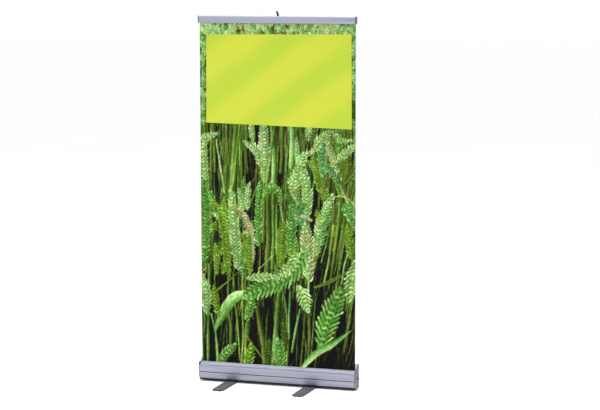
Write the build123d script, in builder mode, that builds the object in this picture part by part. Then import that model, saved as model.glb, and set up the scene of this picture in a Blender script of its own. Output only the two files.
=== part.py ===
from build123d import *
import os
from math import acos, atan2, cos, degrees, hypot, sin

# A roll-up banner stand, in millimetres. X runs along the cassette, -Y is the front, +Z is up.
# The origin is on the floor, under the middle of the footprint of the two swing-out feet.

# ---------------------------------------------------------------- driving dimensions
film_width = 850
film_thickness = 0.3

# Feet: flat ribbed bars that turn on a bolt under the cassette.
foot_front = 250
foot_rear = 158
foot_width = 64
foot_corner = 24
foot_pivots = {"left": -254, "right": 184}
foot_pivot_behind = 8
pad_height = 2.5
pad_radius = 6
foot_bar_thickness = 3.7
foot_play = 0.3
washer_thickness = 0.8
bolt_radius = 4.95

# The banner hangs in one upright plane, and every cross-section is drawn from that plane.
banner_y = (foot_front - foot_rear) / 2 - foot_pivot_behind

# Cassette.
cassette_half = 430
cap_thickness = 3
cap_rim = 1.2
housing_wall = 1.8
housing_floor = 16
tray_sheet = 1.5
tray_span = (-20, 39)
lip_height = 104
hood_height = 134
rear_wall = 43
slot_half = 2.6
screw_ports = [(37.4, 88), (-24.6, 32), (37.4, 22)]
port_radius = 4.6
cap_screw_radius = 2.0

# Roller: it turns on an axis a little in front of the banner plane.
roller_y = -8
roller_z = 64
roller_radius = 15
roller_half = 428
roller_wall = 1.5
hub_depth = 16
roll_radius = 16.4
axle_radius = {"left": 4.0, "right": 3.0}
spring_radius = 8.5
spring_wire = 1.0
spring_pitch = 8
spring_length = 112
lock_pin_y = 1.8
lock_pin_z = 62
lock_pin_radius = 2.5
lock_pin_travel = 7.5
lock_pin_reach = 445
lock_knob_radius = 5.5
lock_hole_count = 6

# Telescopic pole, behind the banner.
pole_y = 28
tube_wall = 1.1
bush_flange = 4
bush_spigot = 12
tube_radius = {"lower": 11.0, "middle": 9.5, "top": 8.0}
tube_span = {"lower": (22.5, 690), "middle": (610, 1290), "top": (1210, 1880)}
collar_radius = 15
collar_skirt = 35
collar_height = 57
collar_play = 0.35
collar_grooves = 16
socket_half = 22
socket_front = 15
socket_ring = 14
socket_screw_radius = 1.9
socket_screws = [(x, z) for x in (-17, 17) for z in (40, 95)]

# Top rail.
rail_top = 1936
rail_height = 38
rail_half = 426
rail_cap = 2.5
rail_rear = 15
rail_gap = 0.5
rail_wall = 1.4
jaw_radius = 3.2
jaw_rod_radius = 1.2
head_bottom = 1866
claw_tip = (-4, 1962)

# Clearance of a shaft in the bore that it turns in.
running = 0.05

# ---------------------------------------------------------------- derived dimensions
foot_top = pad_height + foot_bar_thickness
washer_bottom = foot_top + foot_play
tray_bottom = washer_bottom + washer_thickness
outer_face = cassette_half + cap_thickness
rail_bottom = rail_top - rail_height
film_bottom = 92
film_top = rail_top - 18
jaw_pivot_y = -rail_gap - jaw_radius
jaw_pivot_z = rail_top - jaw_radius - 0.4
foot_bolt_places = [(x, 0) for x in foot_pivots.values()]

os.makedirs("parts", exist_ok=True)


def across(x):
    """The upright plane at x; its own axes are the distance behind the banner and the height."""
    return Plane(origin=(x, banner_y, 0), x_dir=(0, 1, 0), z_dir=(1, 0, 0))


def level(z, x=0, behind=0):
    """The flat plane at height z, centred at x and a distance behind the banner."""
    return Plane(origin=(x, banner_y + behind, z), x_dir=(1, 0, 0), z_dir=(0, 0, 1))


def behind(distance):
    """The upright plane that far behind the banner, facing forward; its axes are X and height."""
    return Plane(origin=(0, banner_y + distance, 0), x_dir=(1, 0, 0), z_dir=(0, -1, 0))


def save(piece, name):
    """Labels a finished piece and writes it as its own STEP file."""
    piece.part.label = name
    export_step(piece.part, f"parts/{name}.step")


# ---------------------------------------------------------------- cassette
def hood_outline(rear, crest, front_edge):
    """The tall rear hood: up the rear wall, over the crest and down to the slot."""
    bend = rear - 30
    Line((rear, housing_floor + 3), (rear, crest - bend))
    JernArc(start=(rear, crest - bend), tangent=(0, 1), radius=bend, arc_size=90)
    ThreePointArc((30, crest), (16, crest - 7), front_edge)


def housing_outline():
    """The extrusion's outer section: lip, shoulder, rounded front, groove, floor and rear hood."""
    lip = (-9.5, lip_height - 7)
    Polyline((-slot_half, lip_height), (-7, lip_height), (-8.5, lip_height - 2), lip)
    ThreePointArc(lip, (-17.5, 90.4), (-29, 86.5))
    ThreePointArc((-29, 86.5), (-32.4, 85.4), (-34.2, 82.5))
    ThreePointArc((-34.2, 82.5), (-36, 67.5), (-34.2, 53))
    Polyline((-34.2, 53), (-29, 53), (-29, 49.6), (-33.8, 49.6))
    ThreePointArc((-33.8, 49.6), (-30.6, 33), (-24, 18.5))
    Polyline((-24, 18.5), (-21.5, housing_floor), (rear_wall - 3, housing_floor), (rear_wall, housing_floor + 3))
    hood_outline(rear_wall, hood_height, (slot_half, lip_height + 8))
    Line((slot_half, lip_height + 8), (-slot_half, lip_height))


def cap_outline():
    """The end caps' outer section: square at the front top, and down over the tray's end."""
    rear = rear_wall + cap_rim
    front = -34.2 - cap_rim
    Polyline(
        (slot_half, lip_height + 8 + cap_rim),
        (-slot_half - cap_rim, lip_height + cap_rim),
        (front + 4, lip_height + cap_rim),
        (front, lip_height - 4),
        (front, 82.5),
    )
    ThreePointArc((front, 82.5), (-36 - cap_rim, 67.5), (front, 51))
    ThreePointArc((front, 51), (-30.6 - cap_rim, 33), (-24.6 - cap_rim, 18))
    Polyline(
        (-24.6 - cap_rim, 18),
        (tray_span[0] - 1, tray_bottom - 0.3),
        (tray_span[1], tray_bottom - 0.3),
        (rear, housing_floor - 2),
        (rear, housing_floor + 3),
    )
    hood_outline(rear, hood_height + cap_rim, (slot_half, lip_height + 8 + cap_rim))


with BuildPart() as cassette_housing:
    with BuildSketch(across(-cassette_half)):
        with BuildLine():
            housing_outline()
        make_face()
        offset(amount=-housing_wall, kind=Kind.INTERSECTION, mode=Mode.SUBTRACT)
        with Locations(*screw_ports):
            Circle(port_radius)
            Circle(cap_screw_radius + running, mode=Mode.SUBTRACT)
        # The slot that the film leaves by, with a flange down each side of it.
        with Locations((0, lip_height + 1)):
            Rectangle(2 * slot_half, 28, mode=Mode.SUBTRACT)
        with Locations((-slot_half - housing_wall / 2, lip_height - 5)):
            Rectangle(housing_wall, 10)
        with Locations((slot_half + housing_wall / 2, lip_height + 1)):
            Rectangle(housing_wall, 14)
    extrude(amount=2 * cassette_half)
    # Inside, the screw ports are cut away where the pole's socket stands.
    with BuildSketch(level(housing_floor + housing_wall, behind=(socket_front + rear_wall) / 2)):
        Rectangle(2 * socket_half + 1, rear_wall - socket_front - 2 * housing_wall)
    extrude(amount=94, mode=Mode.SUBTRACT)
    # The pole drops in through the top of the hood.
    with BuildSketch(level(lip_height, behind=pole_y)):
        Circle(socket_ring + 0.2)
    extrude(amount=40, mode=Mode.SUBTRACT)
    with BuildSketch(level(0, behind=foot_pivot_behind)):
        with Locations(*foot_bolt_places):
            Circle(bolt_radius + running)
    extrude(amount=housing_floor + 5, mode=Mode.SUBTRACT)
    with BuildSketch(behind(rear_wall + 1)):
        with Locations(*socket_screws):
            Circle(socket_screw_radius + running)
    extrude(amount=housing_wall + 2, mode=Mode.SUBTRACT)
save(cassette_housing, "cassette_housing")

with BuildPart() as base_tray:
    # A folded steel channel under the housing, open side up.
    with BuildSketch(across(-cassette_half)):
        with BuildLine():
            Polyline(
                (tray_span[0], tray_bottom),
                (tray_span[1], tray_bottom),
                (tray_span[1], housing_floor),
                (tray_span[1] - tray_sheet, housing_floor),
                (tray_span[1] - tray_sheet, tray_bottom + tray_sheet),
                (tray_span[0] + tray_sheet, tray_bottom + tray_sheet),
                (tray_span[0] + tray_sheet, housing_floor),
                (tray_span[0], housing_floor),
                close=True,
            )
        make_face()
    extrude(amount=2 * cassette_half)
    with BuildSketch(level(0, behind=foot_pivot_behind)):
        with Locations(*foot_bolt_places):
            Circle(bolt_radius + running)
    extrude(amount=housing_floor, mode=Mode.SUBTRACT)
save(base_tray, "base_tray")


def end_cap(side, bores):
    """A moulded end cap that covers the housing's section and the tray's end, with its bores."""
    start = -outer_face if side == "left" else cassette_half
    with BuildPart() as cap:
        with BuildSketch(across(start)):
            with BuildLine():
                cap_outline()
            make_face()
        extrude(amount=cap_thickness)
        outer = cap.faces().sort_by(Axis.X)[0 if side == "left" else -1]
        fillet(outer.outer_wire().edges(), radius=1.0)
        with BuildSketch(across(start)):
            with Locations(*screw_ports):
                Circle(cap_screw_radius + running)
            for place, radius in bores:
                with Locations(place):
                    Circle(radius)
        extrude(amount=cap_thickness, mode=Mode.SUBTRACT)
    return cap


end_cap_left = end_cap("left", [((roller_y, roller_z), axle_radius["left"] + running)])
save(end_cap_left, "end_cap_left")

end_cap_right = end_cap(
    "right",
    [((roller_y, roller_z), axle_radius["right"]), ((lock_pin_y, lock_pin_z), lock_pin_radius + running)],
)
save(end_cap_right, "end_cap_right")

with BuildPart() as end_cap_screws:
    # Three pan-head screws at each end, driven into the housing's screw ports.
    for end in (-1, 1):
        with BuildSketch(across(end * (outer_face - 18))):
            with Locations(*screw_ports):
                Circle(cap_screw_radius)
        extrude(amount=end * 18)
        with BuildSketch(across(end * outer_face)):
            with Locations(*screw_ports):
                Circle(3.8)
        extrude(amount=end * 2.2)
        with BuildSketch(across(end * (outer_face + 0.8))):
            with Locations(*screw_ports):
                RegularPolygon(1.9, 6)
        extrude(amount=end * 2, mode=Mode.SUBTRACT)
save(end_cap_screws, "end_cap_screws")


def felt_strip(inner, bottom, top):
    """A felt wiper glued to one side of the slot, from the slot's flange to near the film."""
    with BuildPart() as strip:
        with BuildSketch(across(-film_width / 2)):
            with Locations(((inner + slot_half * inner / abs(inner)) / 2, (bottom + top) / 2)):
                Rectangle(slot_half - abs(inner), top - bottom)
        extrude(amount=film_width)
    return strip


slot_felt_front = felt_strip(-0.6, lip_height - 9, lip_height - 1.5)
save(slot_felt_front, "slot_felt_front")
slot_felt_rear = felt_strip(0.6, lip_height - 5, lip_height + 6)
save(slot_felt_rear, "slot_felt_rear")

# ---------------------------------------------------------------- banner
with BuildPart() as banner_film:
    with BuildSketch(level(film_bottom)):
        Rectangle(film_width, film_thickness)
    extrude(amount=film_top - film_bottom)
save(banner_film, "banner_film")

with BuildPart() as leader_strip:
    # The plain strip that joins the film to the roll; it leaves the roll's rear side at a tangent.
    wrap = roll_radius + 0.5
    rise, run = film_bottom - roller_z, -roller_y
    turn = atan2(rise, run) - acos(wrap / hypot(rise, run))
    leaves = (roller_y + wrap * cos(turn), roller_z + wrap * sin(turn))
    across_strip = (film_thickness / 2 * cos(turn), film_thickness / 2 * sin(turn))
    with BuildSketch(across(-film_width / 2)):
        with BuildLine():
            Polyline(
                (leaves[0] - across_strip[0], leaves[1] - across_strip[1]),
                (leaves[0] + across_strip[0], leaves[1] + across_strip[1]),
                (film_thickness / 2, film_bottom),
                (-film_thickness / 2, film_bottom),
                close=True,
            )
        make_face()
    extrude(amount=film_width)
save(leader_strip, "leader_strip")


# ---------------------------------------------------------------- roller and its spring
def on_roller(x):
    """The upright plane at x, centred on the roller's axis."""
    return Plane(origin=(x, banner_y + roller_y, roller_z), x_dir=(0, 1, 0), z_dir=(1, 0, 0))


def roller_ring(x_from, x_to, outer, inner):
    """A plain tube on the roller's axis."""
    with BuildPart() as tube:
        with BuildSketch(on_roller(x_from)):
            Circle(outer)
            Circle(inner, mode=Mode.SUBTRACT)
        extrude(amount=x_to - x_from)
    return tube


roller_tube = roller_ring(-roller_half, roller_half, roller_radius, roller_radius - roller_wall)
save(roller_tube, "roller_tube")

film_roll = roller_ring(-film_width / 2, film_width / 2, roll_radius, roller_radius)
save(film_roll, "film_roll")

plug_radius = roller_radius - roller_wall - running / 2
hub_inner_end = roller_half - hub_depth

roller_hub_left = roller_ring(-roller_half, -hub_inner_end, plug_radius, axle_radius["left"] + running)
save(roller_hub_left, "roller_hub_left")

lock_circle = hypot(lock_pin_y - roller_y, lock_pin_z - roller_z)
lock_angle = degrees(atan2(lock_pin_z - roller_z, lock_pin_y - roller_y))

with BuildPart() as roller_hub_right:
    add(roller_ring(hub_inner_end, roller_half, plug_radius, axle_radius["right"] + running).part)
    # The ring of blind holes that the lock pin drops into.
    with BuildSketch(on_roller(roller_half)):
        with PolarLocations(lock_circle, lock_hole_count, start_angle=lock_angle):
            Circle(lock_pin_radius + 0.3)
    extrude(amount=-hub_depth / 2, mode=Mode.SUBTRACT)
save(roller_hub_right, "roller_hub_right")

spring_start = -hub_inner_end + 10
spring_end = spring_start + spring_length
spindle_end = spring_end + 8

with BuildPart() as spring_spindle:
    # A steel shaft from outside the left cap to the far end of the spring, with a stop collar.
    with BuildSketch(on_roller(-lock_pin_reach)):
        Circle(axle_radius["left"])
    extrude(amount=lock_pin_reach + spindle_end)
    with BuildSketch(on_roller(spring_start - spring_wire - 3)):
        Circle(spring_radius + 1)
    extrude(amount=3)
    # Flats for the key that winds the spring.
    with BuildSketch(on_roller(-lock_pin_reach)):
        with Locations((0, axle_radius["left"]), (0, -axle_radius["left"])):
            Rectangle(10, 2)
    extrude(amount=5, mode=Mode.SUBTRACT)
save(spring_spindle, "spring_spindle")

with BuildPart() as spindle_nut:
    with BuildSketch(on_roller(-outer_face)):
        RegularPolygon(8, 6)
        Circle(axle_radius["left"] + running, mode=Mode.SUBTRACT)
    extrude(amount=-5)
save(spindle_nut, "spindle_nut")

with BuildPart() as torsion_spring:
    with BuildLine():
        coil = Helix(
            pitch=spring_pitch,
            height=spring_length,
            radius=spring_radius,
            center=(spring_start, banner_y + roller_y, roller_z),
            direction=(1, 0, 0),
        )
    with BuildSketch(Plane(origin=coil @ 0, z_dir=coil % 0)):
        Circle(spring_wire)
    sweep(path=coil, is_frenet=True)
save(torsion_spring, "torsion_spring")

spring_anchor = roller_ring(spring_end + spring_wire, spring_end + 18, plug_radius, axle_radius["left"] + 1)
save(spring_anchor, "spring_anchor")

with BuildPart() as idler_pin:
    # Pressed into the right cap, and a running fit in the right hub.
    with BuildSketch(on_roller(hub_inner_end + 2)):
        Circle(axle_radius["right"])
    extrude(amount=outer_face - hub_inner_end - 2)
save(idler_pin, "idler_pin")

with BuildPart() as tension_lock_pin:
    # Drawn out at rest, with its inner end still in the right cap.
    with BuildSketch(Plane(origin=(cassette_half + 0.5, banner_y + lock_pin_y, lock_pin_z), z_dir=(1, 0, 0))):
        Circle(lock_pin_radius)
    extrude(amount=lock_pin_reach - cassette_half - 1)
    with BuildSketch(Plane(origin=(lock_pin_reach - 3.5, banner_y + lock_pin_y, lock_pin_z), z_dir=(1, 0, 0))):
        Circle(lock_knob_radius)
    extrude(amount=3.5)
    fillet(tension_lock_pin.edges().group_by(Axis.X)[-1], radius=1)
save(tension_lock_pin, "tension_lock_pin")

# ---------------------------------------------------------------- feet
for side, pivot_x in foot_pivots.items():
    foot_length = foot_front + foot_rear
    with BuildPart() as foot_bar:
        with BuildSketch(level(pad_height, x=pivot_x, behind=-banner_y)):
            RectangleRounded(foot_width, foot_length, foot_corner)
        extrude(amount=foot_bar_thickness)
        fillet(foot_bar.faces().sort_by(Axis.Z)[-1].outer_wire().edges(), radius=0.8)
        # Shallow grooves run the length of the extruded bar.
        with BuildSketch(level(foot_top - 0.6, x=pivot_x, behind=-banner_y)):
            with GridLocations(7, 0, 8, 1):
                Rectangle(1.8, foot_length)
        extrude(amount=0.6, mode=Mode.SUBTRACT)
        with BuildSketch(level(0, x=pivot_x, behind=foot_pivot_behind)):
            Circle(bolt_radius + running)
        extrude(amount=foot_top, mode=Mode.SUBTRACT)
    save(foot_bar, f"foot_bar_{side}")

    with BuildPart() as foot_pads:
        # Two rubber studs under each end of the bar.
        with BuildSketch(level(0, x=pivot_x, behind=-banner_y)):
            with GridLocations(28, foot_length - 15, 2, 2):
                Circle(pad_radius)
        extrude(amount=pad_height)
    save(foot_pads, f"foot_pads_{side}")


def foot_stack(bottom, top, outer, inner):
    """The same ring at both foot pivots."""
    with BuildPart() as stack:
        with BuildSketch(level(bottom, behind=foot_pivot_behind)):
            with Locations(*foot_bolt_places):
                Circle(outer)
                if inner:
                    Circle(inner, mode=Mode.SUBTRACT)
        extrude(amount=top - bottom)
    return stack


foot_pivot_washers = foot_stack(washer_bottom, tray_bottom, 13, bolt_radius + running)
save(foot_pivot_washers, "foot_pivot_washers")

foot_pivot_spacers = foot_stack(tray_bottom + tray_sheet, housing_floor, 8, bolt_radius + running)
save(foot_pivot_spacers, "foot_pivot_spacers")

with BuildPart() as foot_pivot_bolts:
    # Flat heads stay just clear of the floor and of the turning bar.
    add(foot_stack(0.8, pad_height - foot_play, 9, 0).part)
    add(foot_stack(0.8, housing_floor + housing_wall + 7, bolt_radius, 0).part)
save(foot_pivot_bolts, "foot_pivot_bolts")

with BuildPart() as foot_pivot_nuts:
    with BuildSketch(level(housing_floor + housing_wall, behind=foot_pivot_behind)):
        with Locations(*foot_bolt_places):
            RegularPolygon(9, 6)
            Circle(bolt_radius + running, mode=Mode.SUBTRACT)
    extrude(amount=5)
save(foot_pivot_nuts, "foot_pivot_nuts")

# ---------------------------------------------------------------- pole
with BuildPart() as pole_socket:
    # A moulded block inside the housing, with a ring that stands up through the hood.
    block_depth = rear_wall - housing_wall - 0.1 - socket_front
    with BuildSketch(level(housing_floor + housing_wall, behind=socket_front + block_depth / 2)):
        Rectangle(2 * socket_half, block_depth)
    extrude(amount=94)
    with BuildSketch(level(housing_floor + housing_wall + 90, behind=pole_y)):
        Circle(socket_ring)
    extrude(amount=hood_height + 7 - housing_floor - housing_wall - 90)
    fillet(pole_socket.edges().group_by(Axis.Z)[-1], radius=1.2)
    with BuildSketch(level(tube_span["lower"][0], behind=pole_y)):
        Circle(tube_radius["lower"] + running)
    extrude(amount=hood_height, mode=Mode.SUBTRACT)
    with BuildSketch(behind(rear_wall - housing_wall)):
        with Locations(*socket_screws):
            Circle(socket_screw_radius + running)
    extrude(amount=14, mode=Mode.SUBTRACT)
save(pole_socket, "pole_socket")

with BuildPart() as pole_socket_screws:
    with BuildSketch(behind(rear_wall)):
        with Locations(*socket_screws):
            Circle(socket_screw_radius)
    extrude(amount=housing_wall + 12)
    with BuildSketch(behind(rear_wall)):
        with Locations(*socket_screws):
            Circle(3.6)
    extrude(amount=-2)
    with BuildSketch(behind(rear_wall + 2)):
        with Locations(*socket_screws):
            RegularPolygon(1.8, 6)
    extrude(amount=1.2, mode=Mode.SUBTRACT)
save(pole_socket_screws, "pole_socket_screws")

for section, radius in tube_radius.items():
    bottom, top = tube_span[section]
    with BuildPart() as pole_tube:
        with BuildSketch(level(bottom, behind=pole_y)):
            Circle(radius)
            Circle(radius - tube_wall, mode=Mode.SUBTRACT)
        extrude(amount=top - bottom)
    save(pole_tube, f"pole_tube_{section}")

for section in ("middle", "top"):
    # A plastic plug in the bottom of each sliding section, which steadies it in the one below.
    bottom = tube_span[section][0]
    with BuildPart() as bush:
        with BuildSketch(level(bottom - bush_flange, behind=pole_y)):
            Circle(tube_radius[section])
        extrude(amount=bush_flange)
        with BuildSketch(level(bottom, behind=pole_y)):
            Circle(tube_radius[section] - tube_wall - running / 2)
        extrude(amount=bush_spigot)
        with BuildSketch(level(bottom - bush_flange, behind=pole_y)):
            Circle(tube_radius[section] - 4)
        extrude(amount=bush_flange + bush_spigot, mode=Mode.SUBTRACT)
    save(bush, f"{section}_tube_bush")

for holder, slider in (("lower", "middle"), ("middle", "top")):
    # A twist collar sits over the end of one tube and round the next one up.
    shoulder = tube_span[holder][1]
    with BuildPart() as collar:
        with BuildSketch(level(shoulder - collar_skirt, behind=pole_y)):
            Circle(collar_radius)
        extrude(amount=collar_height)
        chamfer(collar.edges(), length=1.2)
        with BuildSketch(level(shoulder - collar_skirt, behind=pole_y)):
            with PolarLocations(collar_radius + 0.5, collar_grooves):
                Circle(1.3)
        extrude(amount=collar_height, mode=Mode.SUBTRACT)
        with BuildSketch(level(shoulder - collar_skirt, behind=pole_y)):
            Circle(tube_radius[holder] + collar_play)
        extrude(amount=collar_skirt + 0.4, mode=Mode.SUBTRACT)
        with BuildSketch(level(shoulder, behind=pole_y)):
            Circle(tube_radius[slider] + collar_play)
        extrude(amount=collar_height, mode=Mode.SUBTRACT)
    save(collar, f"twist_collar_{holder}")

with BuildPart() as pole_head:
    # A cap on the top tube, a block behind the rail, a tongue under it and a claw over it.
    with BuildSketch(level(head_bottom, behind=pole_y)):
        Circle(11)
    extrude(amount=tube_span["top"][1] + 4 - head_bottom)
    with BuildSketch(across(-9)):
        with BuildLine():
            Polyline(
                (tube_radius["top"] + pole_y + 2, 1878),
                (tube_radius["top"] + pole_y + 2, 1905),
                (30, 1922),
                (rail_rear, 1922),
                (rail_rear, rail_bottom),
                (3, rail_bottom),
                (4, rail_bottom - 5),
                (14, 1884),
                (18, 1878),
                close=True,
            )
        make_face()
    extrude(amount=18)
    with BuildSketch(across(-4)):
        with BuildLine():
            Line((rail_rear, 1918), (27, 1918))
            ThreePointArc((27, 1918), (21, 1947), claw_tip)
            ThreePointArc(claw_tip, (12, 1943.5), (rail_rear + 0.6, 1932))
            Line((rail_rear + 0.6, 1932), (rail_rear, 1918))
        make_face()
    extrude(amount=8)
    with BuildSketch(level(head_bottom, behind=pole_y)):
        Circle(tube_radius["top"] + running)
    extrude(amount=tube_span["top"][1] - head_bottom, mode=Mode.SUBTRACT)
save(pole_head, "pole_head")

# ---------------------------------------------------------------- top rail
with BuildPart() as rail_rear_profile:
    # A closed hollow extrusion with a flat front face that backs the film.
    with BuildSketch(across(-rail_half)):
        with BuildLine():
            Polyline((rail_gap, rail_bottom + 1.5), (rail_gap, rail_top - 1), (1.5, rail_top), (11, rail_top))
            ThreePointArc((11, rail_top), (13.8, rail_top - 1.2), (rail_rear, rail_top - 4))
            Line((rail_rear, rail_top - 4), (rail_rear, rail_bottom + 4))
            ThreePointArc((rail_rear, rail_bottom + 4), (13.8, rail_bottom + 1.2), (11, rail_bottom))
            Polyline((11, rail_bottom), (2, rail_bottom), (rail_gap, rail_bottom + 1.5))
        make_face()
        offset(amount=-rail_wall, kind=Kind.INTERSECTION, mode=Mode.SUBTRACT)
    extrude(amount=2 * rail_half)
save(rail_rear_profile, "rail_rear_profile")

with BuildPart() as rail_front_jaw:
    # The face that opens to take the film: it swings on a rod through its upper rear bead.
    with BuildSketch(across(-rail_half + 0.5)):
        with BuildLine():
            Line((-rail_gap, rail_bottom + 3), (-rail_gap, jaw_pivot_z))
            ThreePointArc(
                (-rail_gap, jaw_pivot_z),
                (jaw_pivot_y + jaw_radius * cos(0.785), jaw_pivot_z + jaw_radius * sin(0.785)),
                (jaw_pivot_y, jaw_pivot_z + jaw_radius),
            )
            Line((jaw_pivot_y, jaw_pivot_z + jaw_radius), (-9, rail_top))
            ThreePointArc((-9, rail_top), (-12.6, rail_top - 1.2), (-14.4, rail_top - 5))
            Polyline(
                (-14.4, rail_top - 5),
                (-15, rail_bottom + 17.5),
                (-14.6, rail_bottom + 16.5),
                (-17, rail_bottom + 6.5),
            )
            ThreePointArc((-17, rail_bottom + 6.5), (-14.8, rail_bottom + 2), (-10, rail_bottom))
            Polyline((-10, rail_bottom), (-2.5, rail_bottom), (-rail_gap, rail_bottom + 3))
        make_face()
        # The hollow inside the extrusion.
        with BuildLine():
            Polyline(
                (-rail_gap - rail_wall, rail_bottom + 3.8),
                (-rail_gap - rail_wall, jaw_pivot_z - 4),
                (-8.4, rail_top - rail_wall - 0.6),
                (-12.8, rail_top - 5.4),
                (-13.4, rail_bottom + 16.8),
                (-15.2, rail_bottom + 7),
                (-10, rail_bottom + rail_wall + 0.2),
                (-3.2, rail_bottom + rail_wall),
                close=True,
            )
        make_face(mode=Mode.SUBTRACT)
        with Locations((jaw_pivot_y, jaw_pivot_z)):
            Circle(jaw_radius)
            Circle(jaw_rod_radius + running, mode=Mode.SUBTRACT)
    extrude(amount=2 * rail_half - 1)
save(rail_front_jaw, "rail_front_jaw")

with BuildPart() as rail_hinge_rod:
    with BuildSketch(across(-rail_half - rail_cap + 0.5)):
        with Locations((jaw_pivot_y, jaw_pivot_z)):
            Circle(jaw_rod_radius)
    extrude(amount=2 * (rail_half + rail_cap) - 1)
save(rail_hinge_rod, "rail_hinge_rod")

for side, start in (("left", -rail_half - rail_cap), ("right", rail_half)):
    with BuildPart() as rail_end_cap:
        with BuildSketch(across(start)):
            with Locations(((rail_rear - 17) / 2, rail_top - rail_height / 2)):
                RectangleRounded(rail_rear + 17 + 1, rail_height + 1, 5)
        extrude(amount=rail_cap)
        outer = rail_end_cap.faces().sort_by(Axis.X)[0 if side == "left" else -1]
        fillet(outer.outer_wire().edges(), radius=0.8)
        with BuildSketch(across(start)):
            with Locations((jaw_pivot_y, jaw_pivot_z)):
                Circle(jaw_rod_radius + running)
        extrude(amount=rail_cap, mode=Mode.SUBTRACT)
    save(rail_end_cap, f"rail_end_cap_{side}")
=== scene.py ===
"""A roll-up banner stand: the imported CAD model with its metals, plastics and felt, and a printed film.

The stand's frame, cassette, pole and rail stay as CAD made them and get their materials here.
The film is a new piece, drawn with a field of green wheat under a plain lime panel.
"""

import math

import bmesh
import bpy
import numpy as np
from mathutils import Matrix, Vector


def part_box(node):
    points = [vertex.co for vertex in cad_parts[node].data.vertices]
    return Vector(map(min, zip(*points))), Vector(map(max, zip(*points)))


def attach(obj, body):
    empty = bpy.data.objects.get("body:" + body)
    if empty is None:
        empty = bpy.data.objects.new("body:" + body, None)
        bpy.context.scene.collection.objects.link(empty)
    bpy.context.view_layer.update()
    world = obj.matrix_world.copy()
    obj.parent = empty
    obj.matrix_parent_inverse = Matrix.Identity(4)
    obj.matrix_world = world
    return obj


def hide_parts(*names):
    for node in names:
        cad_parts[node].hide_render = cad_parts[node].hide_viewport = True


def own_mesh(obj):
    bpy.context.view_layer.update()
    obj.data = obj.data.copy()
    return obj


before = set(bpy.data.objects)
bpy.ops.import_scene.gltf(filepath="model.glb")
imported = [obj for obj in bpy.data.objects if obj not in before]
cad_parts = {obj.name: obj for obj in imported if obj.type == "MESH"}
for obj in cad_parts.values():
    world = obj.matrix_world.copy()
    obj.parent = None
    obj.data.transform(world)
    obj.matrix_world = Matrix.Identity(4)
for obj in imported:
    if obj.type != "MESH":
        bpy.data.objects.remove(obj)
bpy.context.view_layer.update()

MM = 0.001
film_low, film_high = (Vector(corner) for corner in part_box("banner_film"))


# ---------------------------------------------------------------- small helpers

def linear(hex_colour):
    """An sRGB hex colour as linear red, green, blue and a full alpha."""
    parts = [int(hex_colour[i:i + 2], 16) / 255 for i in (0, 2, 4)]
    return (*(p / 12.92 if p <= 0.04045 else ((p + 0.055) / 1.055) ** 2.4 for p in parts), 1.0)


def add(tree, kind, sockets=(), **settings):
    """A new node: settings are its properties, sockets its inputs, each a number, a socket or
    another node, which then gives the first output that it has in use."""
    made = tree.nodes.new(kind)
    for name, value in settings.items():
        setattr(made, name, value)
    for key, value in dict(sockets).items():
        if isinstance(value, bpy.types.Node):
            value = next(output for output in value.outputs if output.enabled)
        if isinstance(value, bpy.types.NodeSocket):
            tree.links.new(value, made.inputs[key])
        else:
            made.inputs[key].default_value = value
    return made


def start_material(name):
    """An empty node tree with Object coordinates to build a finish on."""
    material = bpy.data.materials.new(name)
    material.use_nodes = True
    material.node_tree.nodes.clear()
    place = add(material.node_tree, "ShaderNodeTexCoord").outputs["Object"]
    return material, material.node_tree, place


def end_material(tree, sockets, height=None, depth=0.0):
    """The shader itself, with a bump of that depth in metres where a height is given."""
    if height is not None:
        sockets = {**sockets, "Normal": add(tree, "ShaderNodeBump", {
            "Height": height, "Strength": 1.0, "Distance": depth})}
    shader = add(tree, "ShaderNodeBsdfPrincipled", sockets)
    add(tree, "ShaderNodeOutputMaterial", {"Surface": shader})


# noise and added noise stay near their middle, so a finish uses this part of their range
NOISE = {"From Min": 0.3, "From Max": 0.7}
TWO_NOISES = {"From Min": 0.7, "From Max": 1.3}
FACTOR = {"To Min": 0.0, "To Max": 1.0}


# ---------------------------------------------------------------- metals

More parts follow.
